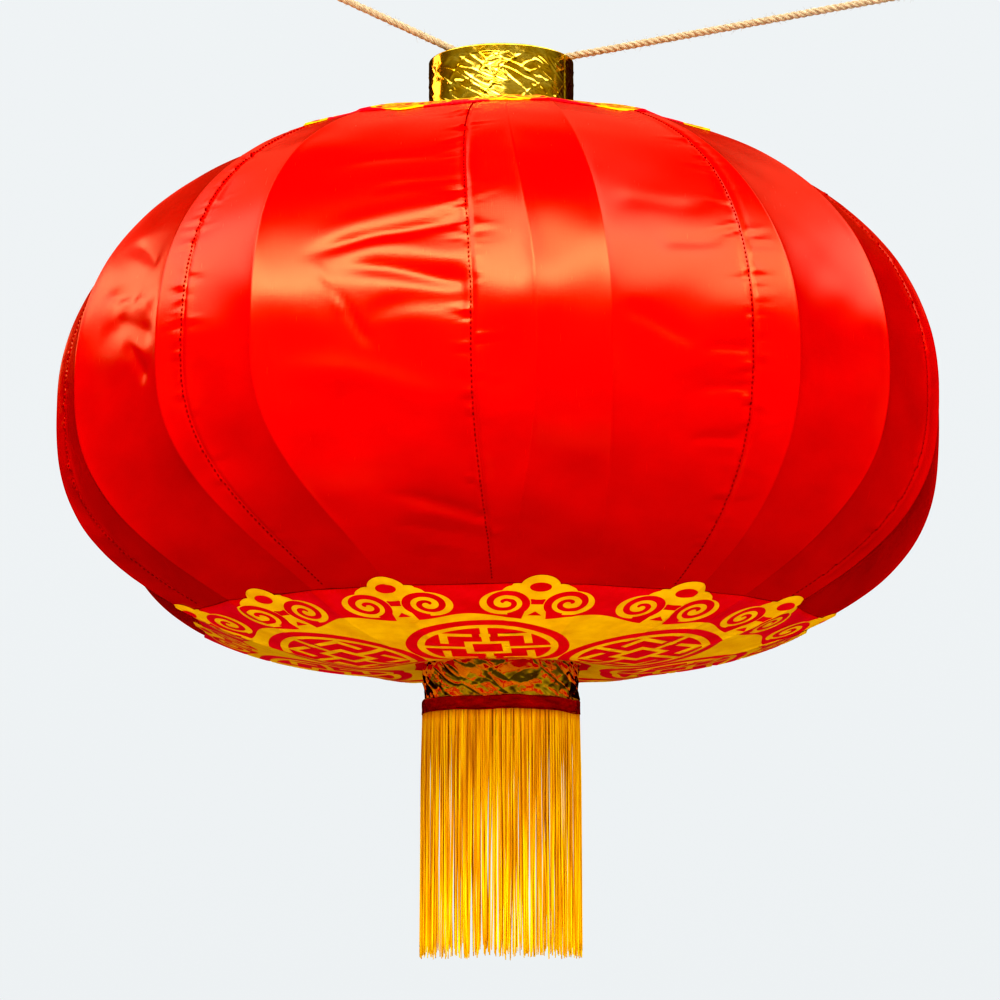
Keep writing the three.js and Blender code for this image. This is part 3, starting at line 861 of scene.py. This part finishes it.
def cloud_lobes():
    """The scalloped outline of a cloud head, as overlapping rounds."""
    lobes = [circle(side * 20.5, -5, 16.5, 14.5) for side in (-1, 1)]
    lobes += [circle(side * 12.5, 6, 10.5, 9.5) for side in (-1, 1)]
    return lobes + [circle(0, 11.5, 12, 12)]


def cloud_head():
    """One cloud head: gold lobes on a stem, then red cut-outs. y points outward."""
    shapes = [(1, np.array([(-9, -27), (9, -27), (6, -6), (-6, -6)]))]
    shapes += [(1, lobe) for lobe in cloud_lobes()] + [(0, circle(0, 13, 6.4, 4.6))]
    shapes += [(0, spiral_band(side * 20.5, -5, side)) for side in (-1, 1)]
    return shapes + [(0, np.array([(-5, -20.5), (5, -20.5), (0, -15)]))]


def fret_roundel():
    """A red roundel with a thin gold ring, filled with a square lattice mirrored both ways."""
    shapes = [(0, circle(0, 0, 53, steps=96)), (1, circle(0, 0, 45.5, steps=90)),
              (0, circle(0, 0, 40.5, steps=90))]
    keys = [[(0, 12), (0, 27)], [(12, 0), (27, 0)], [(12, 12), (12, 0)], [(12, 12), (0, 12)],
            [(11, 27), (27, 27), (27, 11)], [(0, 27), (-1, 27)], [(27, 0), (41, 0)],
            [(0, 27), (0, 41)]]
    return shapes + [(1, stroke([(across * x, up * y) for x, y in key], 2.6))
                     for across in (-1, 1) for up in (-1, 1) for key in keys]


def wavy_disc(radius, swell, waves, turn=0.0, sharpness=1.0):
    angles = whole_turn(waves * 24)
    reach = radius + swell * np.abs(np.cos(waves / 2 * (angles - turn))) ** sharpness
    return around(reach, angles)


def placed(shapes, azimuth, radius, upright):
    """Shapes bent round the plan's centre at an azimuth and radius; y points outward."""
    result = []
    for role, outline in shapes:
        if upright:
            angle = math.radians(azimuth)
            across = np.array([math.cos(angle), math.sin(angle)])
            out = np.array([math.sin(angle), -math.cos(angle)])
            points = radius * out + outline[:, :1] * across + outline[:, 1:] * out
        else:
            turn = np.radians(azimuth) + outline[:, 0] / radius
            points = around(radius + outline[:, 1], turn)
        result.append((role, points))
    return result


def print_shapes(first_head, first_roundel):
    """The print from its first layer to its last, as (role, outline): 1 is gold and 0 is red."""
    shapes = []
    between = math.radians(first_head + 180 / HEADS)
    for k in range(HEADS):
        shapes += placed(cloud_head(), first_head + k * 360 / HEADS, HEAD_RADIUS, False)
    shapes.append((1, wavy_disc(177, 9, HEADS, between, 2.5)))
    for k in range(ROUNDELS):
        shapes += placed(fret_roundel(), first_roundel + k * 360 / ROUNDELS, ROUNDEL_RADIUS, True)
    middle = ((1, 67, 2), (0, 62, 0), (1, 55, 0))
    return shapes + [(role, wavy_disc(radius, swell, HEADS)) for role, radius, swell in middle]


def print_rim(edge, first_head):
    """Outlines that together bound the print: a disc, and the cloud heads that reach past it."""
    rims = [wavy_disc(edge, 0, 90)]
    for k in range(HEADS):
        lobes = [(1, lobe) for lobe in cloud_lobes()]
        rims += [rim for _, rim in placed(lobes, first_head + k * 360 / HEADS, HEAD_RADIUS, False)]
    return rims


def inside(points, outline):
    """Which points lie inside a closed outline."""
    hit = np.zeros(len(points), dtype=bool)
    low, high = outline.min(axis=0), outline.max(axis=0)
    near = np.flatnonzero(((points >= low) & (points <= high)).all(axis=1))
    if not len(near):
        return hit
    px, py = points[near, 0][:, None], points[near, 1][:, None]
    ax, ay = outline[:, 0][None], outline[:, 1][None]
    bx, by = np.roll(ax, -1, axis=1), np.roll(ay, -1, axis=1)
    rise = np.where(by == ay, 1e-12, by - ay)
    crosses = ((ay > py) != (by > py)) & (px < ax + (py - ay) * (bx - ax) / rise)
    hit[near] = crosses.sum(axis=1) % 2 == 1
    return hit


def make_medallion(name, side, edge_radius, azimuths):
    """A printed ring of cloth round a mouth; colours meet along the print's own outlines."""
    scale = edge_radius / PRINT_EDGE
    shapes = [(role, outline * scale) for role, outline in print_shapes(*azimuths)]
    rims = [outline * scale for outline in print_rim(PRINT_EDGE, azimuths[0])]
    mouth = wavy_disc(MOUTH_RADIUS, 0, 45)
    outlines = [outline for _, outline in shapes] + rims + [mouth]
    reach = max(float(np.hypot(*outline.T).max()) for outline in rims)
    points, edges = [], []
    for outline in outlines:
        first = len(points)
        count = len(outline)
        points.extend(outline.tolist())
        edges.extend((first + i, first + (i + 1) % count) for i in range(count))
    for radius in np.arange(MOUTH_RADIUS + 2 * MM, reach, MEDALLION_STEP):
        level = float(level_of(radius, side))
        rib_turns = azimuth_at(RIBS, np.float64(level))
        count = int(2 * np.pi * radius / (3.6 * MM))
        offset = (radius * 1000) % 1
        turns = np.concatenate([rib_turns, (np.arange(count) + offset) * 360 / count])
        points.extend(around(radius, np.radians(turns)).tolist())
    flat, _, faces, *_ = delaunay_2d_cdt([Vector(p) for p in points], edges, [], 0, 1e-7)
    flat = np.array([tuple(p) for p in flat])
    faces = np.array(faces)
    middle = flat[faces].mean(axis=1)
    kept = np.any([inside(middle, rim) for rim in rims], axis=0) & ~inside(middle, mouth)
    faces, middle = faces[kept], middle[kept]
    role = np.zeros(len(faces), dtype=int)
    for value, outline in shapes:
        role[inside(middle, outline)] = value
    used, faces = np.unique(faces, return_inverse=True)
    flat, faces = flat[used], faces.reshape(-1, 3)
    radius = np.hypot(flat[:, 0], flat[:, 1])
    turns = np.degrees(np.arctan2(flat[:, 0], -flat[:, 1]))
    level = level_of(np.minimum(radius, WAIST_RADIUS), side)
    dice = default_rng(RIPPLE_SEED + (side > 0))
    lift = np.full(len(flat), MEDALLION_LIFT)
    for _ in range(7):
        waves = int(dice.integers(9, 42))
        phase = dice.uniform(0, 2 * np.pi)
        fade = np.exp(-(edge_radius - radius) / MEDALLION_RIPPLE_REACH)
        lift += MEDALLION_RIPPLE * (1 + np.sin(waves * np.radians(turns) + phase)) * fade
    for rib_turn in azimuth_at(RIBS, level).T:
        gap = radius * np.radians((turns - rib_turn + 180) % 360 - 180)
        lift += MEDALLION_RIDGE * bell(gap, MEDALLION_RIDGE_WIDTH)
    sides = np.concatenate([faces[:, [0, 1]], faces[:, [1, 2]], faces[:, [2, 0]]])
    sides = np.sort(sides, axis=1)
    sides, uses = np.unique(sides, axis=0, return_counts=True)
    lift[sides[uses == 1].ravel()] = MEDALLION_EDGE_LIFT
    vertices = cloth(level, turns, lift)
    a, b, c = (flat[faces[:, i]] for i in range(3))
    ab, ac = b - a, c - a
    flip = (ab[:, 0] * ac[:, 1] - ab[:, 1] * ac[:, 0] > 0) != (side > 0)
    faces[flip] = faces[flip][:, ::-1]
    medallion = new_piece(f"{name}_print", vertices, faces.tolist(), PRINT_LOOKS, "lantern",
                          uv=flat, face_looks=role.tolist())
    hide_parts(name)


# Foil


def ridged(place, scale):
    """Noise with sharp ridges, from about -1 to 1."""
    return 1 - abs(noise.noise(place * scale)) * 2


def crinkle(aside, up, seed, leafy):
    """How far the foil stands out at a place round and up the collar, from about -1 to 1.

    Slanting creases turn into flat facets as leafy goes from 0 to 1."""
    along, across = math.cos(FOIL_SLANT), math.sin(FOIL_SLANT)
    slant = Vector((aside * along - up * across, (up * along + aside * across) * 5.0, seed))
    lean = Vector((aside * along + up * across, (up * along - aside * across) * 3.0, seed + 5))
    folds = ridged(slant, 40) ** 5 * 0.9 + ridged(lean, 34) ** 7 * 0.7
    cells = noise.voronoi(Vector((aside + 0.004 * noise.noise(lean * 60), up * 1.25, seed)) * 48)[0]
    facets = min((cells[1] - cells[0]) * 1.6, 1.0) * 0.9 + ridged(slant, 26) ** 5 * 0.6
    grain = 0.12 * noise.noise(Vector((aside, up, seed)) * 230)
    return folds * (1 - leafy) + facets * leafy + grain


def make_foil(node, rim_side, look, seed, leafy, depth):
    """Foil wrapped round a collar, turned over its rim and tucked inside it."""
    low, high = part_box(node)
    outer = high[0] - 0.5 * MM
    rim, base = (high[2], low[2]) if rim_side > 0 else (low[2], high[2])
    edge = rim - rim_side * 0.5 * MM
    outside = [(outer, z) for z in np.linspace(base, edge, FOIL_ROWS)]
    bend = [(outer - 1.8 * MM * (1 - math.cos(a)), edge + rim_side * 0.5 * MM * math.sin(a))
            for a in np.linspace(0.3, math.pi - 0.3, 7)]
    inner = [(outer - FOIL_WALL, z) for z in np.linspace(edge, rim - rim_side * FOIL_TUCK, 16)]
    vertices = []
    for i, (radius, z) in enumerate([*outside, *bend, *inner]):
        on_lip = abs(z - rim) < FOIL_LIP
        shown = 1.0 if i < len(outside) else 0.12
        calm = 0.16 if on_lip else 1.0
        for j in range(FOIL_COLUMNS):
            turn = 2 * math.pi * j / FOIL_COLUMNS
            wound = (turn - FOIL_END_AZIMUTH) % (2 * math.pi)
            out = depth * shown * calm * crinkle(wound * radius, z, seed, leafy)
            out += FOIL_LIP_STEP * shown if on_lip else 0.0
            out += FOIL_END_STEP * shown * math.exp(-((wound / 0.5) ** 2))
            vertices.append(((radius + out) * math.sin(turn), -(radius + out) * math.cos(turn), z))
    faces = grid_faces(len(vertices) // FOIL_COLUMNS, FOIL_COLUMNS, closed=True)
    if rim_side < 0:
        faces = [face[::-1] for face in faces]
    foil = new_piece(f"{node}_wrap", vertices, faces, [look], "lantern")
    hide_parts(node)


# Fringe


def ribbon_parts(path, facing, width, thickness):
    """A flat yarn, six-sided along a path; facing is the way its flat side looks."""
    _, across, other = path_frames(path, facing)
    corners = [(-1, 0), (-0.55, -0.8), (0.55, -0.8), (1, 0), (0.55, 0.8), (-0.55, 0.8)]
    rings = [path + across * (a * width[:, None]) - other * (b * thickness) for a, b in corners]
    return np.stack(rings, axis=1).reshape(-1, 3), ring_faces(len(path), len(corners))


def make_strands():
    low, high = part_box("fringe_skirt")
    top_radius, bottom_radius = STRAND_TOP_RADIUS, high[0] - 1.6 * MM
    top, bottom = STRAND_TOP, low[2] - 1 * MM
    dice = default_rng(STRAND_SEED)
    parts = []
    share = np.linspace(0, 1, STRAND_STEPS)
    for k in range(STRANDS):
        home = 360 * (k + dice.uniform(-0.3, 0.3)) / STRANDS
        length = (top - bottom) - abs(dice.normal(0, 4.2)) * MM - dice.uniform(0, 3) * MM
        bunch = 2.4 * math.sin(math.radians(home) * 23 + 1.3)
        bunch += 1.5 * math.sin(math.radians(home) * 41)
        wander = dice.normal(0, 1.0)
        wobble = dice.uniform(0.1, 0.45) * np.sin(share * dice.uniform(3, 11) + dice.uniform(0, 6))
        turn = np.radians(home + (bunch * 0.55 + wander * 1.2) * share**1.3 + wobble * share)
        depth = dice.uniform(-0.8, 0.8) * MM
        radius = top_radius + (bottom_radius - top_radius) * share**0.8
        radius += depth * np.minimum(1, share * 4)
        path = around(radius, turn, top - share * length)
        spin = turn + dice.uniform(-0.5, 0.5) + dice.uniform(-1.1, 1.1) * share
        facing = around(1, spin, 0)
        width = STRAND_WIDTH * dice.uniform(0.8, 1.15) * (1 - 0.5 * smoothstep(share, 0.985, 1.0))
        vertices, faces = ribbon_parts(path, facing, width, STRAND_THICKNESS)
        parts.append((vertices, faces, paired(np.full(6, k * 0.61), share[:, None] * length * 20)))
    strands = joined_piece("fringe_strands", parts, YARN, None)
    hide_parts("fringe_skirt")
    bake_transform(strands)


def make_heading():
    """The woven head of the fringe: upright cords side by side, bound by two rows of thread."""
    low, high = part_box("fringe_heading")
    cords, steps = 300, 6
    columns = cords * steps
    angle = whole_turn(columns)
    ribbed = np.abs(np.sin(angle * cords / 2)) ** 0.6
    rows = np.linspace(low[2] + 0.3 * MM, high[2], 26)
    radius = high[0] - 0.6 * MM + 0.75 * MM * ribbed[None, :] * np.ones((len(rows), 1))
    for binding in (low[2] + 5 * MM, low[2] + 8 * MM):
        radius -= 0.35 * MM * bell(rows - binding, 0.6 * MM)[:, None]
    points = around(radius, angle, rows[:, None])
    uv = paired(np.floor(angle / (2 * np.pi) * cords)[None] * 0.61, rows[:, None] * 20)
    # The cords take the darkened copy of the fringe yarn: painted shade on the fringe's head.
    heading = new_piece("fringe_heading_cords", points.reshape(-1, 3),
                        grid_faces(len(rows), columns, closed=True), [SHADED_HEAD_YARN], "lantern",
                        uv=uv)
    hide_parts("fringe_heading")


def make_band():
    """Glossy tape wound round the foil and the fringe's head, with a cord along its lower edge."""
    low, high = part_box("fringe_band")
    columns = 360
    angle = whole_turn(columns)
    outer, inner = high[0] + 0.1 * MM, high[0] - 0.8 * MM
    top, bottom = high[2] - 2 * MM, low[2]
    profile = [(inner, top - 0.3 * MM), (outer - 0.3 * MM, top)]
    profile += [(outer, z) for z in np.linspace(top - 0.4 * MM, bottom + 0.4 * MM, 16)]
    profile += [(outer - 0.3 * MM, bottom), (inner, bottom + 0.3 * MM)]
    profile = profile[::-1]
    dice = default_rng(BAND_SEED)
    sway = sum(dice.uniform(0.1, 0.35) * MM * np.sin(waves * angle + dice.uniform(0, 6))
               for waves in (2, 3, 5, 9))
    points = []
    for radius, z in profile:
        level = (z - bottom) / (top - bottom)
        crease = 0.16 * MM * np.sin(angle * 37 + level * 7) * np.sin(angle * 11 + 2)
        points.append(around(radius + np.maximum(crease, -0.1 * MM), angle, z + sway))
    band = new_piece("fringe_band_tape", np.concatenate(points),
                     grid_faces(len(profile), columns, closed=True), [TAPE], "lantern")
    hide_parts("fringe_band")
    path = around(outer - 0.2 * MM, angle, bottom - 0.5 * MM + sway * 1.4)
    cord = tube_parts(path, 0.42 * MM, 6, (0, 0, 1.0), closed=True)
    joined_piece("band_edge_cord", [cord], TAPE, "lantern")


# Rope


def twisted(path, side, closed=False):
    """Three strands wound round a path."""
    _, across, other = path_frames(path, side, closed)
    along = distance_along(path)
    pitch = ROPE_PITCH
    if closed:
        whole = along[-1] + np.linalg.norm(path[0] - path[-1])
        pitch = whole / round(whole / ROPE_PITCH)
    parts = []
    for strand in range(3):
        angle = 2 * np.pi * (along / pitch + strand / 3)
        out = np.cos(angle)[:, None] * across + np.sin(angle)[:, None] * other
        swell = ROPE_STRAND_RADIUS * (1 + 0.05 * np.sin(along * 900 + strand * 2))
        parts.append(tube_parts(path + ROPE_STRAND_OFFSET * out, swell, 10, side, closed))
    return parts


def loose_fibres(path, side):
    """Fine hairs that stand out of the rope."""
    dice = default_rng(FIBRE_SEED)
    tangents, across, other = path_frames(path, side)
    parts = []
    for _ in range(ROPE_FIBRES):
        i = int(dice.integers(2, len(path) - 2))
        angle = dice.uniform(0, 2 * np.pi)
        out = math.cos(angle) * across[i] + math.sin(angle) * other[i]
        reach = dice.uniform(0.8, 3.2) * MM
        lean = tangents[i] * dice.uniform(-1, 1) * 3 * MM
        lean = lean + np.array([0, 0, dice.uniform(-1, 1)]) * MM
        t = np.linspace(0, 1, 6)[:, None]
        hair = path[i] + out * (2.2 * MM + reach * t) + lean * t**2
        radii = (0.075 * (1 - 0.6 * t[:, 0])) * MM
        parts.append(tube_parts(hair, radii, 4, tangents[i] + (0.01, 0.02, 0.03)))
    return parts


def make_rope():
    side = (0, 1.0, 0)
    path = smooth_path(ROPE_ROUTE, 0.9 * MM)
    rope = joined_piece("jute_rope", twisted(path, side), JUTE, "rope")
    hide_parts("hanging_rope")
    with_pieces = []
    for name, tail in (("left_rope_loop", path[0]), ("right_rope_loop", path[-1])):
        low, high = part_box(name)
        centre = (np.array(low) + np.array(high)) / 2
        turn = whole_turn(110)
        ring = centre + ROPE_LOOP_RADIUS * np.stack([np.cos(turn), 0 * turn, np.sin(turn)], axis=1)
        strands = twisted(ring, side, closed=True)
        loop = joined_piece(f"{name}_strands", strands, JUTE, "rope")
        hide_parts(name)
        way = (centre - tail) / np.linalg.norm(centre - tail)
        t = np.linspace(0, 1, 220)[:, None]
        spin = 2 * np.pi * 6 * t
        up = np.cross(way, side)
        wrap = tail + way * (t - 0.62) * 8 * MM
        wrap = wrap + 3.5 * MM * (np.cos(spin) * up + np.sin(spin) * np.array(side))
        wound = [tube_parts(wrap, 0.75 * MM, 7, way)]
        whipping = joined_piece(f"{name}_whipping", wound, JUTE, "rope")
        with_pieces += [loop, whipping]
    fibres = loose_fibres(path, side)
    with_pieces.append(joined_piece("rope_fibres", fibres, JUTE, "rope"))


def dress_frame():
    """CAD nodes that stay as they are, with their own materials."""
    for name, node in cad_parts.items():
        if name in ("top_collar", "bottom_collar"):
            look = CARD
        elif name.startswith(("rib_", "rod_", "tie_", "hanging_ring")):
            look = STEEL
        elif name.endswith(("hoop", "crossbar")):
            look = STEEL
        else:
            continue
        node.data.materials.clear()
        node.data.materials.append(look)


make_camera()
make_world()
make_rope()
make_floor()
make_light("key", (-0.15, -1.8, 1.25), (0, 0, -0.2), (3.4, 0.7), 34, True)
make_light("collar_strip", (-0.2, -0.75, 0.115), (0, 0, 0), (0.55, 0.08), 0.8, True)
make_light("left_window", (-1.9, 1.3, 0.75), (0, 0, -0.25), (0.9, 0.9), 8, True, WINDOW_COLOUR)
make_light("low_fill", (0.1, -1.7, -1.25), (0, 0, -0.5), (2.0, 1.0), 15, False)
make_light("fill_left", (-2.1, -1.0, 0.2), (0, 0, -0.25), (0.5, 1.2), 4, False)
make_light("fill_right", (2.2, -0.7, 0.0), (0, 0, -0.25), (0.5, 1.2), 5, False)

for number in range(len(SEAMS)):
    make_gore(number)
for number in range(len(SEAMS)):
    make_stitches(number)
make_medallion("bottom_medallion", -1, BOTTOM_EDGE_RADIUS, (6.5, -4.0))
make_medallion("top_medallion", 1, TOP_PRINT_RADIUS, (2.0, 8.0))
make_foil("top_foil", 1, TOP_FOIL, 1.7, 0.1, 0.5 * MM)
make_foil("bottom_foil", -1, BOTTOM_FOIL, 6.3, 0.85, 2.0 * MM)
make_heading()
make_strands()
make_band()
dress_frame()

picture = bpy.context.scene.view_settings
picture.view_transform = "Standard"
picture.look = "High Contrast"
picture.exposure = EXPOSURE
picture.use_curve_mapping = True
picture.curve_mapping.black_level = (BLACK_LEVEL, BLACK_LEVEL, BLACK_LEVEL)
picture.curve_mapping.update()
